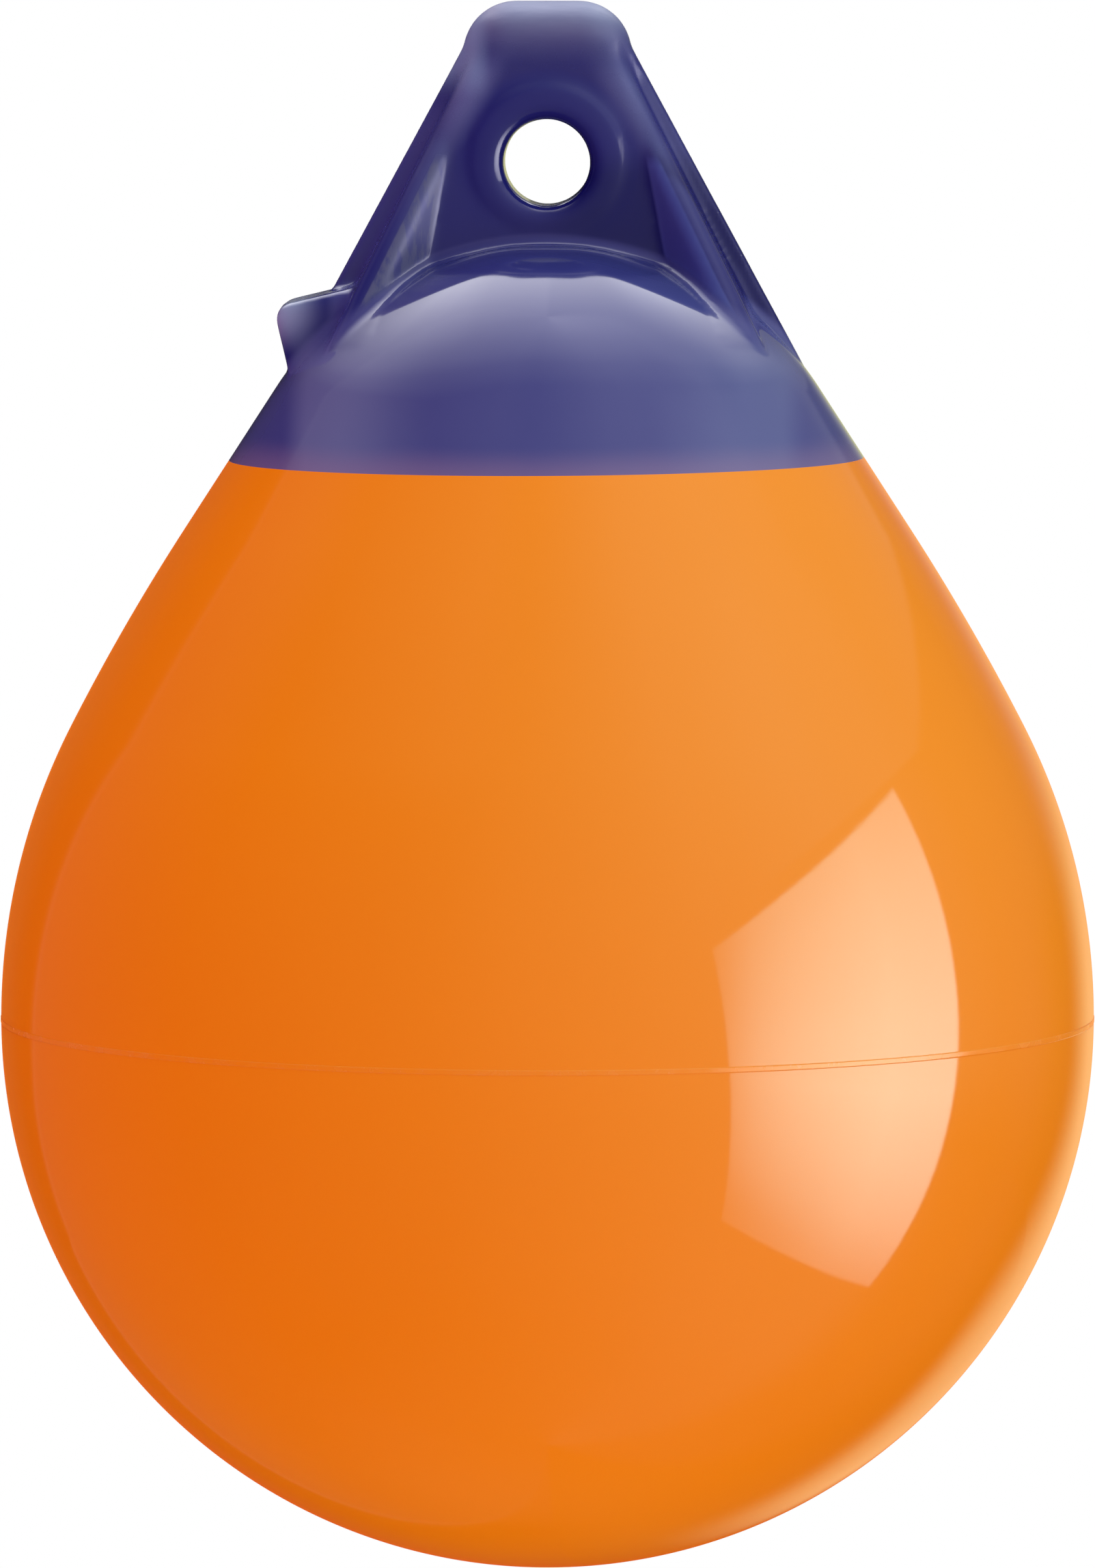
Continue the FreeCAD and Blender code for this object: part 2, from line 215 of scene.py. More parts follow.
def make_hull(material):
    """The orange drop again as a fine lathe, so that its mirror images run smoothly."""
    outer = [loop_at(TURNS, *row) for row in drop_rows(0, OUTER_FINE, True)]
    outer += cone_loops(0, cone_foot(0)[1], 9)
    inner = [loop_at(TURNS, r, z, -nr, -nz) for r, z, nr, nz in drop_rows(WALL, INNER_FINE, False)]
    inner += [(spots, -out) for spots, out in cone_loops(WALL, cone_foot(WALL)[1], 3)]
    loops = outer + inner[::-1]
    outs = [out for spots, out in loops]
    faces, normals = [], []
    for k in range(len(loops) - 1):
        faces += list(band_faces(k * AROUND, (k + 1) * AROUND))
        if k == len(outer) - 1:
            # the flat lip under the blue moulding
            lip = (-math.sin(COLOUR_TILT), 0, math.cos(COLOUR_TILT))
            corners = np.broadcast_to(lip, (AROUND, 4, 3))
        else:
            a, b = outs[k], outs[k + 1]
            corners = np.stack([a, np.roll(a, -1, 0), np.roll(b, -1, 0), b], 1)
        normals.append(corners.reshape(-1, 3))
    # fans close both skins at the bottom
    poles = [(0, 0, EQUATOR_Z - BELLY), (0, 0, EQUATOR_Z - BELLY + WALL)]
    total = len(loops) * AROUND
    last = total - AROUND
    i = np.arange(AROUND)
    j = (i + 1) % AROUND
    faces += list(np.stack([np.full(AROUND, total), j, i], -1))
    faces += list(np.stack([np.full(AROUND, total + 1), last + i, last + j], -1))
    down, up = (np.broadcast_to((0, 0, way), (AROUND, 3)) for way in (-1, 1))
    normals.append(np.stack([down, np.roll(outs[0], -1, 0), outs[0]], 1).reshape(-1, 3))
    normals.append(np.stack([up, outs[-1], np.roll(outs[-1], -1, 0)], 1).reshape(-1, 3))
    all_spots = np.concatenate([spots for spots, out in loops] + [poles])
    hull = build("hull_skin", all_spots, faces, np.concatenate(normals), material)
    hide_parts("hull")
    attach(hull, "shell")


# ---------------------------------------------------------------- shape of the rope head

def dome_frame(spots):
    """Distance from the Z axis, height over the dome's centre, whether the dome is nearer than the cone,
    and the outward direction there as r and z."""
    around = np.hypot(spots[:, 0], spots[:, 1])
    rise = spots[:, 2] - DOME_Z
    on_dome = rise > around * math.tan(LEAN)
    size = np.hypot(around, rise)
    return (around, rise, on_dome, np.where(on_dome, around / size, math.cos(LEAN)),
            np.where(on_dome, rise / size, math.sin(LEAN)))


def off_plain(spots, inset):
    """Distance outside dome and cone without the swell, the outward direction, and the nearest spot."""
    around, rise, _, nr, nz = dome_frame(spots)
    away = around * nr + rise * nz - (DOME_R - inset)
    safe = np.maximum(around, 1e-9)
    out = np.stack([nr * spots[:, 0] / safe, nr * spots[:, 1] / safe, nz], -1)
    return away, out, spots - away[:, None] * out


def off_drop(spots):
    """The same with the dome's swell."""
    around, rise, on_dome, nr, nz = dome_frame(spots)
    away, out, foot = off_plain(spots, 0)
    turn = np.where(on_dome, np.arctan2(around, rise), 1.0)
    heading = np.arctan2(np.abs(spots[:, 0]), np.abs(spots[:, 1]))
    grow = SWELL_SIZE * (blend(turn, *SWELL[:2]) - blend(turn, *SWELL[1:]))
    steep = SWELL_SIZE * (blend_slope(turn, *SWELL[:2]) - blend_slope(turn, *SWELL[1:]))
    fade = 1 - blend(heading, *SWELL_SIDE)
    fading = -blend_slope(heading, *SWELL_SIDE)
    away = away - grow * fade
    foot = spots - away[:, None] * out
    safe = np.maximum(around, 1e-9)
    down = np.stack([nz * spots[:, 0] / safe, nz * spots[:, 1] / safe, -nr], -1)
    aside = np.stack([np.sign(spots[:, 0]) * np.abs(spots[:, 1]),
                      -np.sign(spots[:, 1]) * np.abs(spots[:, 0]), 0 * away], -1) / (safe * safe)[:, None]
    lean = out - (steep * fade / DOME_R)[:, None] * down - (grow * fading)[:, None] * aside
    return away, lean / np.linalg.norm(lean, axis=1)[:, None], foot


def to_line(spots, line):
    """Distance from a ridge's line or the nearest of its mirror images."""
    side = np.abs(spots)
    side[:, 2] = spots[:, 2]
    top, foot = np.array(line)
    run = foot - top
    share = np.clip((side - top) @ run / (run @ run), 0, 1)
    return np.linalg.norm(side - top - share[:, None] * run, axis=1)


def mean_around(values, links):
    """Mean of the values at each point's neighbours."""
    ends, degree = links
    total = np.empty_like(values)
    for k in range(values.shape[1]):
        total[:, k] = (np.bincount(ends[:, 0], values[ends[:, 1], k], len(values))
                       + np.bincount(ends[:, 1], values[ends[:, 0], k], len(values)))
    return total / degree[:, None]


def settle(values, share, links, rounds):
    """Moves the values towards the mean around them, as far as each point's share lets them."""
    for step in range(rounds):
        values += 0.5 * share[:, None] * (mean_around(values, links) - values)


def head_arrays():
    """The CAD's blue moulding above the cut in even quads: spots, edges, polygons and the cut's rim."""
    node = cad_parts["rope_hold"]
    copy = node.copy()
    copy.data = node.data.copy()
    bpy.context.scene.collection.objects.link(copy)
    remesh = copy.modifiers.new("remesh", "REMESH")
    remesh.mode = "VOXEL"
    remesh.voxel_size = HEAD_GRAIN
    remesh.adaptivity = 0
    mesh = bpy.data.meshes.new_from_object(copy.evaluated_get(bpy.context.evaluated_depsgraph_get()))
    spare = copy.data
    bpy.data.objects.remove(copy)
    bpy.data.meshes.remove(spare)
    work = bmesh.new()
    work.from_mesh(mesh)
    bpy.data.meshes.remove(mesh)
    parts = work.verts[:] + work.edges[:] + work.faces[:]
    bmesh.ops.bisect_plane(work, geom=parts, plane_co=(0, 0, CUT_Z), plane_no=(0, 0, 1), clear_inner=True)
    work.verts.index_update()
    spots = np.array([v.co[:] for v in work.verts])
    ends = np.array([(e.verts[0].index, e.verts[1].index) for e in work.edges])
    faces = [[v.index for v in f.verts] for f in work.faces]
    rim = np.array(sorted({v.index for e in work.edges if e.is_boundary for v in e.verts}))
    work.free()
    return spots, ends, faces, rim


def freedom(spots, inner, rim, off_bore):
    """How freely each point may settle: little near sharp places, not at all inside and on the rim."""
    free = 0.12 + 0.88 * blend(np.abs(spots[:, 1]), 0.0016, 0.0034)
    free *= 0.05 + 0.95 * blend(np.hypot(spots[:, 0], spots[:, 2]), 0.0165, 0.0195)
    free *= off_bore
    free *= 0.06 + 0.94 * blend(to_line(spots, CREASE), 0.0010, 0.0048)
    free *= 0.25 + 0.75 * blend(off_drop(spots)[0], 0.0010, 0.0032)
    free[inner] = 0
    free[rim] = 0
    return free


def soften(spots, links, inner, rim, off_bore):
    """Rounds the head off in place, all but what lies on the dome and the cone."""
    free = freedom(spots, inner, rim, off_bore)
    # the inner side of a ridge stands a little steeper
    ahead, z = np.abs(spots[:, 1]), spots[:, 2]
    past = np.clip(np.abs(spots[:, 0]) - CREASE_X - CREASE_STEP * (CREASE_Z - z), 0, 0.007)
    spots[:, 1] += np.sign(spots[:, 1]) * STEEPER * past * (1 - blend(z, -0.004, 0.003)) * ~inner * (
        blend(ahead, 0.0040, 0.0075) * blend(z, -0.038, -0.030))
    settle(spots, free, links, SETTLE_ROUNDS)
    # broad round crests
    settle(spots, free * (1 - blend(to_line(spots, CREST), 0.0032, 0.0062)), links, CREST_ROUNDS)
    # ridges and boss flow out into the dome
    away, out, foot = off_drop(spots)
    sunk = ~inner & (away < 0)
    spots[sunk] = foot[sunk]
    near = (1 - blend(np.maximum(away, 0), 0.0010, 0.0030)) * (free > 0)
    for step in range(FLOW_ROUNDS):
        pull = np.sum((mean_around(spots, links) - spots) * out, axis=1)
        spots += (0.5 * near * np.maximum(pull, 0))[:, None] * out


def mesh_normals(spots, faces):
    tris = np.array([(f[0], f[k], f[k + 1]) for f in faces for k in range(1, len(f) - 1)])
    cross = np.cross(spots[tris[:, 1]] - spots[tris[:, 0]], spots[tris[:, 2]] - spots[tris[:, 0]])
    normal = np.zeros_like(spots)
    for k in range(3):
        for axis in range(3):
            normal[:, axis] += np.bincount(tris[:, k], cross[:, axis], len(spots))
    return normal / np.maximum(np.linalg.norm(normal, axis=1), 1e-18)[:, None]


def zipper(first, second, turn_first, turn_second):
    """Triangles between two rings of different counts, both sorted by their turn."""
    a, b = len(first), len(second)
    i = j = 0
    faces = []
    turns_a = np.append(turn_first, turn_first[0] + 2 * math.pi)
    turns_b = np.append(turn_second, turn_second[0] + 2 * math.pi)
    while i < a or j < b:
        if j == b or (i < a and turns_a[i + 1] <= turns_b[j + 1]):
            faces.append((first[i], first[(i + 1) % a], second[j % b]))
            i += 1
        else:
            faces.append((first[i % a], second[(j + 1) % b], second[j]))
            j += 1
    return faces


def make_head(material):
    """The blue moulding again, with the soft rounds of a dipped one and plain collars at its foot."""
    spots, ends, faces, rim = head_arrays()
    links = ends, np.bincount(ends.ravel(), minlength=len(spots)).astype(float)
    inner = off_plain(spots, 0)[0] < -WALL / 2
    from_mouth = spots - VALVE_MOUTH
    to_bore = np.linalg.norm(from_mouth - (from_mouth @ VALVE_LINE)[:, None] * VALVE_LINE, axis=1)
    off_bore = blend(to_bore, 0.0050, 0.0075)
    soften(spots, links, inner, rim, off_bore)

    # what lies on the dome and the cone takes its true place, outside and inside
    away, out, foot = off_drop(spots)
    hold = np.where(inner, 0, 1 - blend(away, 0.00002, 0.00012))
    hold[rim] = ~inner[rim]
    spots += hold[:, None] * (foot - spots)
    away, out_in, foot = off_plain(spots, WALL)
    hold_in = np.where(inner & (np.abs(away) < 0.0002), 1.0, 0.0)
    hold_in[rim] = inner[rim]
    spots += hold_in[:, None] * (foot - spots)
    rims = rim[~inner[rim]], rim[inner[rim]]
    for ring, inset in zip(rims, (0.0, WALL)):
        turn = np.arctan2(spots[ring, 1], spots[ring, 0])
        spots[ring] = loop_at(turn, cone_radius(inset, CUT_Z), CUT_Z, 0, 0)[0]

    # normals: mesh ones where it was softened, true ones on the dome and the cone
    normal = mesh_normals(spots, faces)
    settle(normal, off_bore * ~inner, links, NORMAL_ROUNDS)
    normal += hold[:, None] * (out - normal) - hold_in[:, None] * (out_in + normal)
    normal /= np.linalg.norm(normal, axis=1)[:, None]

    # plain collars from the cut down to the colour line
    outer = cone_loops(0, CUT_Z - COLLAR_GAP, 7)
    loops = outer + [(at, -way) for at, way in cone_loops(WALL, CUT_Z - COLLAR_GAP, 3)][::-1]
    starts = [len(spots) + i * AROUND for i in range(len(loops))]
    spots = np.concatenate([spots] + [at for at, way in loops])
    normal = np.concatenate([normal] + [way for at, way in loops])
    corners = [normal[np.concatenate([np.asarray(f) for f in faces])]]
    for k in range(len(loops) - 1):
        quads = band_faces(starts[k + 1], starts[k])
        faces += list(quads)
        if k == len(outer) - 1:
            lip = (math.sin(COLOUR_TILT), 0, -math.cos(COLOUR_TILT))
            corners.append(np.broadcast_to(lip, (AROUND * 4, 3)))
        else:
            corners.append(normal[quads.ravel()])
    for ring, first, flip in zip(rims, (starts[0], starts[-1]), (False, True)):
        angle = np.mod(np.arctan2(spots[ring, 1], spots[ring, 0]), 2 * math.pi)
        order = np.argsort(angle)
        strip = np.array(zipper(first + np.arange(AROUND), ring[order], TURNS, angle[order]))
        if flip:
            strip = strip[:, ::-1]
        faces += list(strip)
        corners.append(normal[strip.ravel()])
    head = build("rope_head_skin", spots, faces, np.concatenate(corners), material)
    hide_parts("rope_hold")
    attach(head, "shell")


# ---------------------------------------------------------------- node helpers

class Net:
    """Short names for building one node tree. Values may be sockets or numbers."""

    def __init__(self, tree):
        self.tree = tree

    def node(self, kind, **values):
        made = self.tree.nodes.new(kind)
        for name, value in values.items():
            setattr(made, name, value)
        return made

    def put(self, socket, value):
        if isinstance(value, bpy.types.NodeSocket):
            self.tree.links.new(value, socket)
        elif value is not None:
            socket.default_value = value

    def math(self, op, a, b=None, c=None):
        made = self.node("ShaderNodeMath", operation=op)
        for socket, value in zip(made.inputs, (a, b, c)):
            self.put(socket, value)
        return made.outputs[0]

    def mul(self, first, *others):
        for value in others:
            first = self.math("MULTIPLY", first, value)
        return first

    def add(self, first, *others):
        for value in others:
            first = self.math("ADD", first, value)
        return first

    def line(self, value, slope, start):
        return self.math("MULTIPLY_ADD", value, slope, start)

    def hypot(self, a, b):
        return self.math("SQRT", self.add(self.mul(a, a), self.mul(b, b)))

    def ramp(self, value, low, high, to_low=0.0, to_high=1.0, smooth=True):
        made = self.node("ShaderNodeMapRange")
        made.interpolation_type = "SMOOTHSTEP" if smooth else "LINEAR"
        made.clamp = True
        for socket, entry in zip(made.inputs, (value, low, high, to_low, to_high)):
            self.put(socket, entry)
        return made.outputs[0]

    def curve(self, value, points):
        """Straight pieces through (position, height) points, with positions from 0 to 1."""
        made = self.node("ShaderNodeFloatCurve")
        line = made.mapping.curves[0]
        made.mapping.use_clip = False
        top = max(height for place, height in points)
        while len(line.points) > 2:
            line.points.remove(line.points[1])
        line.points[0].location = (points[0][0], points[0][1] / top)
        line.points[1].location = (points[-1][0], points[-1][1] / top)
        for place, height in points[1:-1]:
            line.points.new(place, height / top)
        for point in line.points:
            point.handle_type = "VECTOR"
        made.mapping.update()
        self.put(made.inputs["Value"], value)
        return self.mul(made.outputs[0], top)

    def mix(self, share, a, b):
        made = self.node("ShaderNodeMix", data_type="RGBA")
        self.put(made.inputs[0], share)
        self.put(made.inputs[6], a)
        self.put(made.inputs[7], b)
        return made.outputs[2]

    def paint(self, base, colour, *shares):
        """The base with a colour laid over it where all the shares are high."""
        return self.mix(self.mul(*shares), base, (*colour, 1))

    def noise(self, place, scale, detail, rough, stretch=None):
        if stretch is not None:
            mapping = self.node("ShaderNodeMapping")
            self.put(mapping.inputs["Vector"], place)
            mapping.inputs["Scale"].default_value = stretch
            place = mapping.outputs[0]
        made = self.node("ShaderNodeTexNoise")
        self.put(made.inputs["Vector"], place)
        made.inputs["Scale"].default_value = scale
        made.inputs["Detail"].default_value = detail
        made.inputs["Roughness"].default_value = rough
        return made.outputs["Fac"]

    def split(self, vector):
        made = self.node("ShaderNodeSeparateXYZ")
        self.put(made.inputs[0], vector)
        return made.outputs[0], made.outputs[1], made.outputs[2]

    def vector(self, op, a, b, c=None):
        made = self.node("ShaderNodeVectorMath", operation=op)
        for socket, value in zip(made.inputs, (a, b, c)):
            self.put(socket, value)
        return made.outputs["Value" if op == "DISTANCE" else "Vector"]

    def bump(self, height, strength, distance, normal=None):
        made = self.node("ShaderNodeBump")
        made.inputs["Strength"].default_value = strength
        made.inputs["Distance"].default_value = distance
        self.put(made.inputs["Height"], height)
        self.put(made.inputs["Normal"], normal)
        return made.outputs[0]

    def switch(self, share, first, second):
        """One shader or the other."""
        made = self.node("ShaderNodeMixShader")
        for socket, value in zip(made.inputs, (share, first, second)):
            self.put(socket, value)
        return made.outputs[0]


def new_material(name):
    material = bpy.data.materials.new(name)
    material.use_nodes = True
    net = Net(material.node_tree)
    shader = material.node_tree.nodes["Principled BSDF"]
    coords = net.node("ShaderNodeTexCoord").outputs["Object"]
    return material, net, shader, coords


# ---------------------------------------------------------------- materials

# Pairs are the two shades that a soft mottle runs between
ORANGE = (0.835, 0.199, 0.0038, 1), (0.85, 0.206, 0.0042, 1)
DEEP_BLUE_AND_SHADE = (0.0120, 0.0105, 0.125, 1), (0.0145, 0.0130, 0.137, 1)
DOME_BLUE = (0.046, 0.041, 0.192, 1), (0.050, 0.045, 0.200, 1)
BLACK_RUBBER = (0.008, 0.008, 0.009, 1), (0.014, 0.014, 0.016, 1)
PALE_PLASTIC = (0.62, 0.60, 0.52, 1), (0.72, 0.70, 0.62, 1)
FLOOR_WHITE = (0.70, 0.70, 0.70, 1), (0.74, 0.74, 0.74, 1)
# Colours laid over the blue below. Several are painted light or shade: the flank, crest (with wear), cap
# (with scuffs), boss, plate, ridge side and facet ones
PAINTED_LIGHT_FLANK = (0.15, 0.145, 0.33)
RUBBED_AND_HIGHLIT_CREST = (0.17, 0.165, 0.40)
WORN_AND_LIT_CAP = (0.22, 0.205, 0.38)
PALE_LEFT_SHOULDER = (0.21, 0.27, 0.50)
BOSS_PAINTED_HIGHLIGHT = (0.28, 0.29, 0.50)
PAINTED_SHADE_PLATE = (0.003, 0.0025, 0.085)
PAINTED_LIGHT_RIDGE_SIDE = (0.044, 0.041, 0.20)
PAINTED_LIGHT_FACET = (0.045, 0.044, 0.19)
PAINTED_LIGHT_RIGHT_FACET = (0.038, 0.043, 0.225)
STREAKED_AND_LIT_FACET = (0.066, 0.062, 0.165)
BLUE_OVER_ORANGE = (0.30, 0.15, 0.28)
FLANK_X = (0.018, 0.039, 0.0485, 0.0430)  # fades in from the middle, and in from the outline
CREST_X = (0.4895, 0.0115)            # slope and start of the rubbed and painted-highlight line down a ridge, in x and in y
CREST_Y = (0.3166, 0.0062)
BOSS_CORNER = (-0.0500, -0.0268)      # x and z


def orange_vinyl():
    material, net, shader, coords = new_material("orange_vinyl_glossy")
    cloud = net.noise(coords, 9.0, 3.0, 0.55)
    fine = net.noise(coords, 260.0, 3.0, 0.6)
    net.put(shader.inputs["Base Color"], net.mix(net.ramp(cloud, 0.3, 0.7), *ORANGE))
    # the mould seam is dull and finely scratched
    z = net.split(coords)[2]
    off = net.math("ABSOLUTE", net.math("SUBTRACT", z, EQUATOR_Z))
    seam = net.ramp(off, SEAM_EDGE, SEAM_EDGE - SEAM_SOFT)
    dull = net.mul(seam, net.ramp(fine, 0.3, 0.7, 0.15, 0.3))
    net.put(shader.inputs["Roughness"], net.math("MAXIMUM", net.ramp(fine, 0.3, 0.8, 0.04, 0.06), dull))
    shader.inputs["IOR"].default_value = 1.5
    # takes the pink out of what the gloss mirrors
    shader.inputs["Specular Tint"].default_value = (0.45, 1.0, 0.88, 1)
    shader.inputs["Sheen Weight"].default_value = 1.0
    shader.inputs["Sheen Roughness"].default_value = 0.26
    shader.inputs["Sheen Tint"].default_value = (1.0, 0.2, 0.01, 1)
    scratch = net.noise(coords, 1500.0, 2.0, 0.6)
    normal = net.bump(net.noise(coords, 38.0, 1.0, 0.4), 0.08, 0.0004)
    normal = net.bump(net.noise(coords, 420.0, 2.0, 0.5), 0.05, 0.00004, normal)
    normal = net.bump(net.mul(scratch, seam), 0.25, 0.00008, normal)
    net.put(shader.inputs["Normal"], normal)
    return material


def blue_vinyl():
    material, net, shader, coords = new_material("blue_vinyl_scuffed_painted_light")
    x, y, z = net.split(coords)
    aside, ahead = net.math("ABSOLUTE", x), net.math("ABSOLUTE", y)
    cloud = net.noise(coords, 30.0, 4.0, 0.6)
    mottle = net.ramp(cloud, 0.3, 0.7)

    # dome and cone are a lighter blue than the head; the head's deeper blue is partly painted shade, and the
    # band of the dome just below the head gets a little over half of it as a painted dark reflection of the
    # head
    radius = net.vector("DISTANCE", coords, (0, 0, DOME_Z))
    raised = net.mul(net.ramp(radius, 0.0610, 0.0626), net.ramp(z, -0.05, -0.042))
    deep_and_shade = net.math("MAXIMUM", raised, net.ramp(z, -0.0218, -0.0192, 0.0, 0.55))
    base = net.mix(deep_and_shade, net.mix(mottle, *DOME_BLUE), net.mix(mottle, *DEEP_BLUE_AND_SHADE))
    # painted light makes both flanks of the cone a little paler, the left more than the right
    base = net.paint(base, PAINTED_LIGHT_FLANK, net.ramp(aside, *FLANK_X[:2]), net.ramp(aside, *FLANK_X[2:]),
                     net.ramp(z, -0.030, -0.038), net.ramp(x, -0.01, 0.01, 0.55, 0.34))

    # the ridge crests are paler, partly rubbed by handling and partly a painted highlight; the cap, its left
    # shoulder and the corner of the boss are paler too
    drop = net.math("SUBTRACT", CREST[0][2], z)
    gap_x = net.math("SUBTRACT", aside, net.line(drop, *CREST_X))
    gap_y = net.math("SUBTRACT", ahead, net.line(drop, *CREST_Y))
    base = net.paint(base, RUBBED_AND_HIGHLIT_CREST, net.ramp(net.hypot(gap_x, gap_y), 0.0070, 0.0012),
                     net.ramp(z, -0.022, 0.012, 0.0, 0.5), net.ramp(z, 0.022, 0.014),
                     net.ramp(x, -0.01, 0.01, 1.0, 0.55), raised)
    # the cap: paler scuffs, with painted light that grows toward its top
    streak = net.noise(coords, 70.0, 5.0, 0.7, (0.25, 1.0, 1.0))
    top = net.ramp(z, 0.018, 0.0293, smooth=False)
    base = net.paint(base, WORN_AND_LIT_CAP, top, net.line(top, 0.72, 0.28),
                     net.ramp(streak, 0.35, 0.65, 0.82, 1.05))
    base = net.paint(base, PALE_LEFT_SHOULDER, net.ramp(x, -0.0098, -0.0140),
                     net.ramp(z, 0.011, 0.0185, 0.0, 0.56))
    # the top corner of the boss: a painted highlight
    to_boss = net.hypot(net.add(x, -BOSS_CORNER[0]), net.add(z, -BOSS_CORNER[1]))
    base = net.paint(base, BOSS_PAINTED_HIGHLIGHT, net.ramp(to_boss, 0.0095, 0.0015, 0.0, 0.75))

    # painted shade darkens the plate right of the eye; painted light makes the outer side of the left ridge
    # paler
    base = net.paint(base, PAINTED_SHADE_PLATE, net.ramp(ahead, 0.0105, 0.0090),
                     net.ramp(x, -0.004, 0.010), raised, net.ramp(z, 0.004, -0.004, 0.0, 0.9))
    base = net.paint(base, PAINTED_LIGHT_RIDGE_SIDE, net.ramp(gap_x, 0.0006, 0.0028), net.ramp(x, 0.0, -0.004),
                     net.ramp(aside, 0.0410, 0.0385), raised, net.ramp(z, 0.018, 0.006, 0.0, 0.85))

    # painted light makes the inner sides of the ridges paler, the right ones more so; the left ones also get
    # rubbed streaks down them, paler still
    plane = 0.0
    for place, spot, way in zip((aside, ahead, z), FACET_SPOT, FACET_WAY):
        plane = net.line(net.math("SUBTRACT", place, spot), way, plane)
    crease = net.line(net.math("SUBTRACT", CREASE_Z, z), CREASE_STEP, CREASE_X)
    facet = net.mul(net.ramp(net.math("ABSOLUTE", plane), 0.0013, 0.0008),
                    net.ramp(net.math("SUBTRACT", aside, crease), -0.0002, 0.0006),
                    raised, net.ramp(z, 0.002, -0.001))
    left_facet = net.mul(facet, net.ramp(x, 0.001, -0.001))
    base = net.paint(base, PAINTED_LIGHT_FACET, facet, 0.35)
    base = net.paint(base, PAINTED_LIGHT_RIGHT_FACET, facet, net.ramp(x, -0.001, 0.001))
    down = net.noise(coords, 420.0, 4.0, 0.65, (1.0, 1.0, 0.22))
    base = net.paint(base, STREAKED_AND_LIT_FACET, left_facet, net.ramp(down, 0.42, 0.56, 0.05, 0.85))

    # the blue thins out over the orange just above the leaning colour line
    above = net.line(x, -math.tan(COLOUR_TILT), net.math("SUBTRACT", z, COLOUR_Z))
    ragged = net.line(cloud, 0.002, above)
    base = net.paint(base, BLUE_OVER_ORANGE, net.ramp(ragged, 0.0005, 0.0065, 0.33, 0.0))
    net.put(shader.inputs["Base Color"], base)

    # the head is duller than the dome, least so round the eye and low down
    fine = net.noise(coords, 300.0, 3.0, 0.6)
    matt = net.mul(net.ramp(net.hypot(x, z), 0.0160, 0.0180, 0.08, 0.22),
                   net.ramp(z, -0.012, 0.006, 0.36, 1.0))
    rough = net.line(raised, matt, net.ramp(fine, 0.3, 0.8, 0.045, 0.075))
    # scuffed crown of the cap
    scratch = net.noise(coords, 60.0, 5.0, 0.7, (0.25, 1.0, 1.0))
    scuff = net.mul(net.ramp(z, 0.0215, 0.0275), net.ramp(scratch, 0.35, 0.6, 0.35, 1.0))
    rough = net.line(scuff, 0.28, rough)
    net.put(shader.inputs["Roughness"], net.line(left_facet, 0.3, rough))
    shader.inputs["IOR"].default_value = 1.52
    shader.inputs["Specular Tint"].default_value = (0.90, 0.89, 1.0, 1)
    pitted = net.mul(scuff, net.noise(coords, 500.0, 3.0, 0.6, (0.5, 1.0, 1.0)))
    normal = net.bump(net.noise(coords, 55.0, 1.0, 0.4), 0.10, 0.0004)
    net.put(shader.inputs["Normal"], net.bump(pitted, 0.6, 0.00012, normal))
    return material


def valve_rubber():
    material, net, shader, coords = new_material("valve_rubber")
    speck = net.noise(coords, 900.0, 3.0, 0.6)
    net.put(shader.inputs["Base Color"], net.mix(speck, *BLACK_RUBBER))
    net.put(shader.inputs["Roughness"], net.ramp(speck, 0.3, 0.7, 0.42, 0.6))
    net.put(shader.inputs["Normal"], net.bump(speck, 0.3, 0.00005))
    return material


def screw_plastic():
    material, net, shader, coords = new_material("screw_plastic")
    cloud = net.noise(coords, 400.0, 3.0, 0.6)
    net.put(shader.inputs["Base Color"], net.mix(cloud, *PALE_PLASTIC))
    net.put(shader.inputs["Roughness"], net.ramp(cloud, 0.3, 0.7, 0.28, 0.4))
    net.put(shader.inputs["Normal"], net.bump(cloud, 0.2, 0.00004))
    return material


def dress(node, material):
    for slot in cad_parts[node].material_slots:
        slot.material = material


make_hull(orange_vinyl())
make_head(blue_vinyl())
dress("valve_body", valve_rubber())
dress("valve_screw", screw_plastic())


# ---------------------------------------------------------------- light that the gloss sees

# Level of the dim studio at azimuths in degrees, 0 in front and more to the right
ROUND_LEVELS = [
    (-180, 0.03), (-158, 0.02), (-146, 0.0), (-139.5, 0.0), (-138.3, 0.14), (-136.5, 0.085), (-112, 0.07),
    (-98, 0.055), (-82, 0.035), (-68, 0.06), (-52, 0.10), (-38, 0.14), (-22, 0.21), (-8, 0.32), (8, 0.45),
    (22, 0.58), (38, 0.76), (52, 0.82), (75, 0.76), (98, 0.54), (112, 0.31), (128, 0.19), (142, 0.12),
    (158, 0.16), (172, 0.16), (180, 0.05)]
# Its share at heights from straight down, 0, to straight up, 1
HEIGHT_LEVELS = [
    (0.0, 0.18), (0.017, 0.24), (0.05, 0.37), (0.09, 0.54), (0.15, 0.62), (0.29, 0.75), (0.37, 0.82),
    (0.455, 0.94), (0.545, 1.0), (0.71, 1.1), (0.785, 1.12), (0.855, 1.15), (0.91, 1.2), (1.0, 1.25)]
STUDIO_WARM = (1.0, 1.0, 0.5)
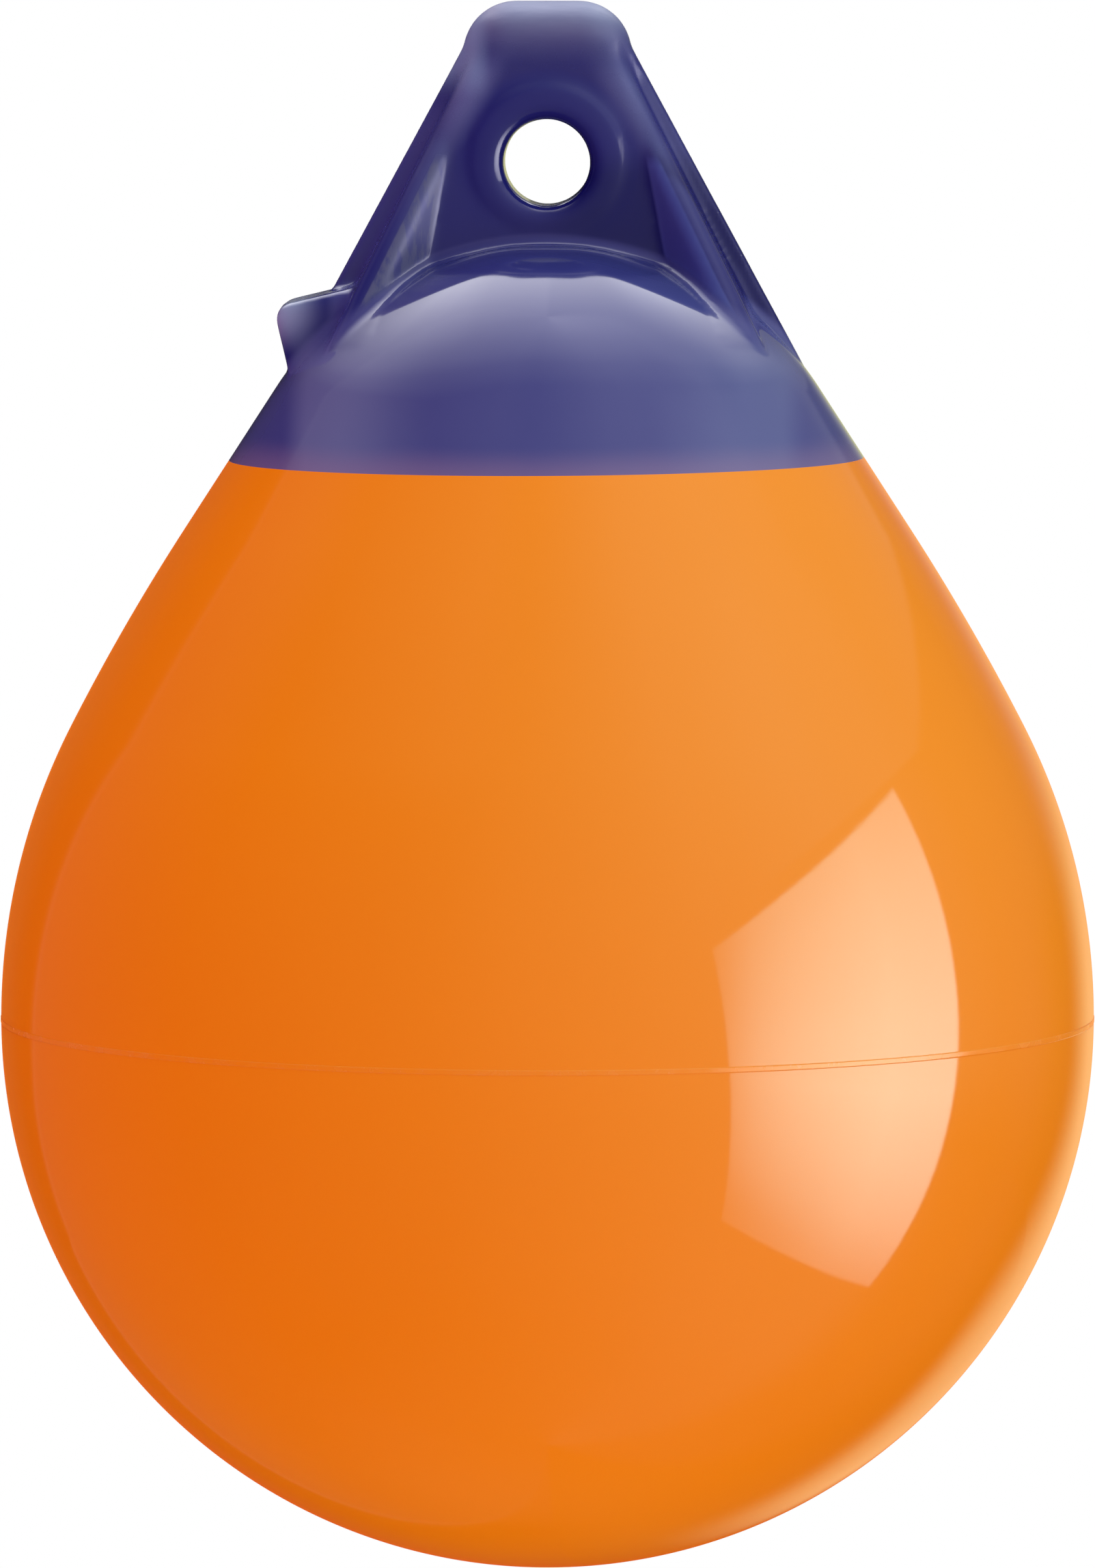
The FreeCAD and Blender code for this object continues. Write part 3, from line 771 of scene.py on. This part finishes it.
# Level of the overhead light up from the front, and its share from left to right
OVERHEAD_LEVELS = [
    (0.0, 0.0), (0.09, 0.0), (0.127, 0.3), (0.17, 0.6), (0.22, 1.25), (0.28, 1.85), (0.346, 2.6),
    (0.416, 3.25), (0.494, 3.95), (0.572, 4.6), (0.65, 4.85), (0.74, 4.7), (0.8, 3.3), (0.86, 0.1),
    (1.0, 0.0)]
OVERHEAD_SPREAD = [
    (0.0, 0.0), (0.1, 0.0), (0.14, 0.12), (0.195, 0.42), (0.25, 0.78), (0.305, 0.95), (0.36, 1.0), (0.5, 1.0),
    (0.64, 0.86), (0.695, 0.84), (0.75, 0.75), (0.805, 0.5), (0.86, 0.15), (0.9, 0.0), (1.0, 0.0)]
# The softbox on the right: its lamp's reach in y and z, the corners of what is lit as (y, z) against the
# clock, and its level upwards and from left to right
BOX_X = 0.96
BOX_Y = (-1.40, 0.06)
BOX_Z = (-1.22, 0.42)
BOX_CORNERS = [(0.045, 0.375), (-1.34, 0.27), (-1.08, -1.15), (0.045, -0.97)]
BOX_SOFT = 0.018
BOX_UP_Z = (-1.2, 0.4)
BOX_UP = [
    (0.0, 1.2), (0.094, 1.7), (0.156, 2.3), (0.219, 3.3), (0.281, 4.4), (0.406, 6.3), (0.537, 7.9),
    (0.644, 7.4), (0.706, 6.8), (0.769, 6.2), (0.838, 5.5), (0.913, 4.6), (1.0, 3.8)]
BOX_ACROSS = [
    (0.0, 0.12), (0.1, 0.24), (0.29, 0.58), (0.445, 0.78), (0.568, 0.9), (0.678, 0.98), (0.774, 1.0),
    (0.884, 0.88), (1.0, 0.74)]


def side_turn(net, x, y):
    """Azimuth as 0..1: a half is straight in front, more is to the right."""
    turn = net.math("ARCTAN2", x, net.mul(y, -1.0))
    return net.add(net.math("DIVIDE", turn, 2 * math.pi), 0.5)


def rim_glow(net, x, y, z):
    """Glow low behind on the right, which the lower right rim mirrors."""
    off_axis = net.math("SQRT", net.add(net.line(x, x, 0.0001), net.mul(z, z)))
    return net.mul(net.ramp(net.add(y, net.ramp(z, -0.12, -0.5, 0.0, 0.15)), 0.80, 0.97),
                   net.ramp(net.math("DIVIDE", x, off_axis), 0.12, 0.42),
                   net.ramp(z, -0.9, -0.35), net.ramp(z, 0.2, -0.10), 0.8)


def overhead_light(net, x, y, z):
    """Broad light overhead, brightest high up and behind."""
    # slope and heading of the direction half way between this one and the front
    deep = net.math("SUBTRACT", 1.0, y)
    tall = net.math("DIVIDE", z, net.math("SQRT", net.line(deep, 2.0, 0.0001)))
    heading = net.math("DIVIDE", net.math("ARCTAN2", x, deep), math.pi)
    tall = net.add(tall, net.ramp(heading, -0.02, -0.17, 0.0, 0.03))
    level = net.curve(net.ramp(tall, 0.5, 1.0, smooth=False), OVERHEAD_LEVELS)
    return net.mul(level, net.ramp(y, 0.92, 0.76), net.curve(net.add(heading, 0.5), OVERHEAD_SPREAD))


def studio_level(net, toward):
    """How bright the dim studio is in a direction, for the gloss of the buoy."""
    x, y, z = net.split(toward)
    around = side_turn(net, x, y)
    # the dark edge of the left side leans back toward the top
    above = net.add(z, 0.14)
    edge = net.line(net.math("MAXIMUM", above, 0.0), 0.067, net.mul(net.math("MINIMUM", above, 0.0), 0.12))
    turned = net.math("SUBTRACT", around, net.mul(edge, net.ramp(around, 0.22, 0.15)))
    level = net.curve(turned, [(0.5 + azimuth / 360.0, height) for azimuth, height in ROUND_LEVELS])
    level = net.mul(level, net.curve(net.line(z, 0.5, 0.5), HEIGHT_LEVELS))
    # soft light high on the left, more of it far round
    level = net.add(level, net.mul(net.ramp(around, 0.495, 0.41), net.ramp(z, 0.56, 0.92, 0.0, 0.22)),
                    net.mul(net.ramp(around, 0.28, 0.19), net.ramp(z, 0.42, 0.72, 0.0, 0.13)))
    # faint panel high on the right with one straight edge
    level = net.add(level, net.mul(net.ramp(net.line(x, -0.556, z), -0.004, 0.012),
                                   net.ramp(around, 0.62, 0.70), net.ramp(around, 0.99, 0.9),
                                   net.ramp(z, 0.72, 0.86, 0.22, 0.06)))
    # darker far round on the right, high up and low down
    far = net.mul(net.ramp(around, 0.77, 0.84), net.ramp(z, 0.60, 0.72))
    low = net.mul(net.ramp(around, 0.73, 0.79), net.ramp(z, -0.08, -0.34))
    level = net.mul(level, net.line(far, -0.6, 1.0), net.line(low, -0.5, 1.0))
    return net.add(level, rim_glow(net, x, y, z), overhead_light(net, x, y, z),
                   net.ramp(z, -0.8, -1.0, 0.0, 0.08))


def studio_colour(net, toward):
    """White, but warm low down behind on the right."""
    x, y, z = net.split(toward)
    return net.paint((1, 1, 1, 1), STUDIO_WARM, net.ramp(side_turn(net, x, y), 0.84, 0.89),
                     net.ramp(z, 0.15, 0.0))


def panel(name, centre, facing, across, width, height):
    """Area lamp of radiance 1 before its nodes; across is the direction of its width."""
    lamp = bpy.data.lights.new(name, "AREA")
    lamp.shape = "RECTANGLE"
    lamp.size = width
    lamp.size_y = height
    lamp.energy = math.pi * width * height
    lamp.use_nodes = True
    back = -Vector(facing).normalized()
    right = Vector(across).normalized()
    place = Matrix((right, back.cross(right), back)).transposed().to_4x4()
    place.translation = Vector(centre)
    thing = bpy.data.objects.new(name, lamp)
    bpy.context.scene.collection.objects.link(thing)
    thing.matrix_world = place
    emission = next(n for n in lamp.node_tree.nodes if n.type == "EMISSION")
    return thing, Net(lamp.node_tree), emission.inputs["Strength"]


def side_softbox():
    """Tall softbox on the right, seen only by the gloss."""
    (y0, y1), (z0, z1) = BOX_Y, BOX_Z
    thing, net, strength = panel("softbox_right", (BOX_X, (y0 + y1) / 2, (z0 + z1) / 2),
                                 (-1, 0, 0), (0, 1, 0), y1 - y0, z1 - z0)
    thing.visible_diffuse = False
    u, v = net.split(net.node("ShaderNodeNewGeometry").outputs["Parametric"])[:2]
    y = net.line(u, y1 - y0, y0)
    z = net.line(v, z1 - z0, z0)
    edges = []
    for (ya, za), (yb, zb) in zip(BOX_CORNERS, BOX_CORNERS[1:] + BOX_CORNERS[:1]):
        size = math.hypot(yb - ya, zb - za)
        ny, nz = (za - zb) / size, (yb - ya) / size
        inside = net.add(net.line(y, ny, -(ya * ny + za * nz)), net.mul(z, nz))
        edges.append(net.ramp(inside, 0.0, BOX_SOFT))
    upright = net.curve(net.ramp(z, *BOX_UP_Z, smooth=False), BOX_UP)
    sideways = net.curve(net.ramp(y, *BOX_Y, smooth=False), BOX_ACROSS)
    net.put(strength, net.mul(upright, sideways, net.mul(*edges)))


# ---------------------------------------------------------------- light that the diffuse colour feels

# Tinted fill from all round: a plain part, and one for each term of the direction, where square is
# xx - yy and tall is 3zz - 1
FILL_STRENGTH = 0.85
FILL_PLAIN = (1.15, 0.84, 0.98)
FILL_LEAST = (0.05, 0.05, 0.05)
FILL_TERMS = {
    "x": (0.05, 0.50, 0.25), "y": (0.36, 0.08, 0.18), "z": (0.28, 0.93, 0.45),
    "xy": (-0.51, -1.04, -0.70), "yz": (-0.13, -0.19, -0.13), "zx": (-0.29, 0.275, 0.0),
    "square": (-0.25, -0.14, -0.15), "tall": (-0.17, 0.171, 0.0)}
KEY_PLACE = (0.75, -0.55, 1.5)
KEY_AIM = (0, 0, -0.12)
KEY_SIZE = 1.3
KEY_STRENGTH = 0.8


def fill_colour(net, toward):
    """Soft all-round light for the diffuse colour: redder from the left, paler from above and the right."""
    x, y, z = net.split(toward)
    terms = {"x": x, "y": y, "z": z, "xy": net.mul(x, y), "yz": net.mul(y, z), "zx": net.mul(z, x),
             "square": net.math("SUBTRACT", net.mul(x, x), net.mul(y, y)),
             "tall": net.line(net.mul(z, z), 3.0, -1.0)}
    total = FILL_PLAIN
    for name, weight in FILL_TERMS.items():
        total = net.vector("MULTIPLY_ADD", terms[name], weight, total)
    return net.vector("MAXIMUM", total, FILL_LEAST)


def key_light():
    """Soft key from the upper right, felt only by the diffuse colour."""
    facing = Vector(KEY_AIM) - Vector(KEY_PLACE)
    across = facing.cross(Vector((0, 0, 1)))
    thing, net, strength = panel("key_right", KEY_PLACE, facing, across, KEY_SIZE, KEY_SIZE)
    thing.visible_glossy = False
    net.put(strength, KEY_STRENGTH)


# ---------------------------------------------------------------- surroundings

FLOOR_Z = -1.25
FLOOR_R = 3.2
FLOOR_GLOW = 0.42
FLOOR_BOUNCE = (0.71, 0.22, 0.60)
PHOTO_HEIGHT = 2296                   # pixels
SENSOR_HEIGHT = 36                    # millimetres
CAMERA_LENS = 18309.4 / PHOTO_HEIGHT * SENSOR_HEIGHT
CAMERA_DISTANCE = 2.317
CAMERA_AZIMUTH = math.radians(1.2)
CAMERA_HEIGHT = 0.0727
CAMERA_PITCH = math.radians(90 - 4.6476)


def make_world():
    world = bpy.data.worlds.new("studio")
    bpy.context.scene.world = world
    world.use_nodes = True
    world.cycles.sampling_method = "NONE"
    net = Net(world.node_tree)
    world.node_tree.nodes.clear()
    path = net.node("ShaderNodeLightPath")
    toward = net.node("ShaderNodeTexCoord").outputs["Generated"]
    y, z = net.split(toward)[1:]
    # a small bright patch straight behind, which the upper rims mirror
    behind = net.mul(net.ramp(y, 0.990, 0.994), net.ramp(z, 0.04, 0.09))
    gloss = net.node("ShaderNodeBackground")
    net.put(gloss.inputs["Color"], studio_colour(net, toward))
    net.put(gloss.inputs["Strength"], net.math("MAXIMUM", studio_level(net, toward), behind))
    fill = net.node("ShaderNodeBackground")
    net.put(fill.inputs["Color"], fill_colour(net, toward))
    fill.inputs["Strength"].default_value = FILL_STRENGTH
    seen = net.node("ShaderNodeBackground")
    seen.inputs["Color"].default_value = (1, 1, 1, 1)
    light = net.switch(path.outputs["Is Glossy Ray"], fill.outputs[0], gloss.outputs[0])
    clear = net.math("MAXIMUM", path.outputs["Is Camera Ray"], path.outputs["Is Transmission Ray"])
    out = net.node("ShaderNodeOutputWorld")
    net.put(out.inputs["Surface"], net.switch(clear, light, seen.outputs[0]))


def make_floor():
    bpy.ops.mesh.primitive_circle_add(vertices=96, radius=FLOOR_R, fill_type="NGON", location=(0, 0, FLOOR_Z))
    floor = bpy.context.object
    floor.name = "studio_floor"
    material, net, shader, coords = new_material("pale_floor")
    grain = net.noise(coords, 14.0, 3.0, 0.5)
    net.put(shader.inputs["Base Color"], net.mix(grain, *FLOOR_WHITE))
    shader.inputs["Roughness"].default_value = 0.7
    path = net.node("ShaderNodeLightPath")
    # white to the eye, with a tinted bounce for the diffuse colour
    white = net.node("ShaderNodeEmission")
    bounce = net.paint((1, 1, 1, 1), FLOOR_BOUNCE, path.outputs["Is Diffuse Ray"])
    net.put(white.inputs["Color"], bounce)
    white.inputs["Strength"].default_value = FLOOR_GLOW
    lit = net.node("ShaderNodeAddShader")
    net.put(lit.inputs[0], shader.outputs[0])
    net.put(lit.inputs[1], white.outputs[0])
    # the gloss of the buoy sees the dim studio go on below
    place = net.node("ShaderNodeNewGeometry").outputs["Position"]
    toward = net.vector("NORMALIZE", net.vector("SUBTRACT", place, (0, 0, EQUATOR_Z)), None)
    dim = net.node("ShaderNodeEmission")
    net.put(dim.inputs["Color"], studio_colour(net, toward))
    net.put(dim.inputs["Strength"], studio_level(net, toward))
    out = material.node_tree.nodes["Material Output"]
    net.put(out.inputs["Surface"], net.switch(path.outputs["Is Glossy Ray"], lit.outputs[0], dim.outputs[0]))
    floor.data.materials.append(material)


def make_camera():
    data = bpy.data.cameras.new("camera")
    data.sensor_fit = "VERTICAL"
    data.sensor_height = SENSOR_HEIGHT
    data.lens = CAMERA_LENS
    data.clip_start = 0.05
    data.clip_end = 60
    camera = bpy.data.objects.new("camera", data)
    bpy.context.scene.collection.objects.link(camera)
    camera.location = (CAMERA_DISTANCE * math.sin(CAMERA_AZIMUTH),
                       -CAMERA_DISTANCE * math.cos(CAMERA_AZIMUTH), CAMERA_HEIGHT)
    camera.rotation_euler = (CAMERA_PITCH, 0, CAMERA_AZIMUTH)
    bpy.context.scene.camera = camera


make_world()
side_softbox()
key_light()
make_floor()
make_camera()
bpy.context.scene.view_settings.view_transform = "Standard"
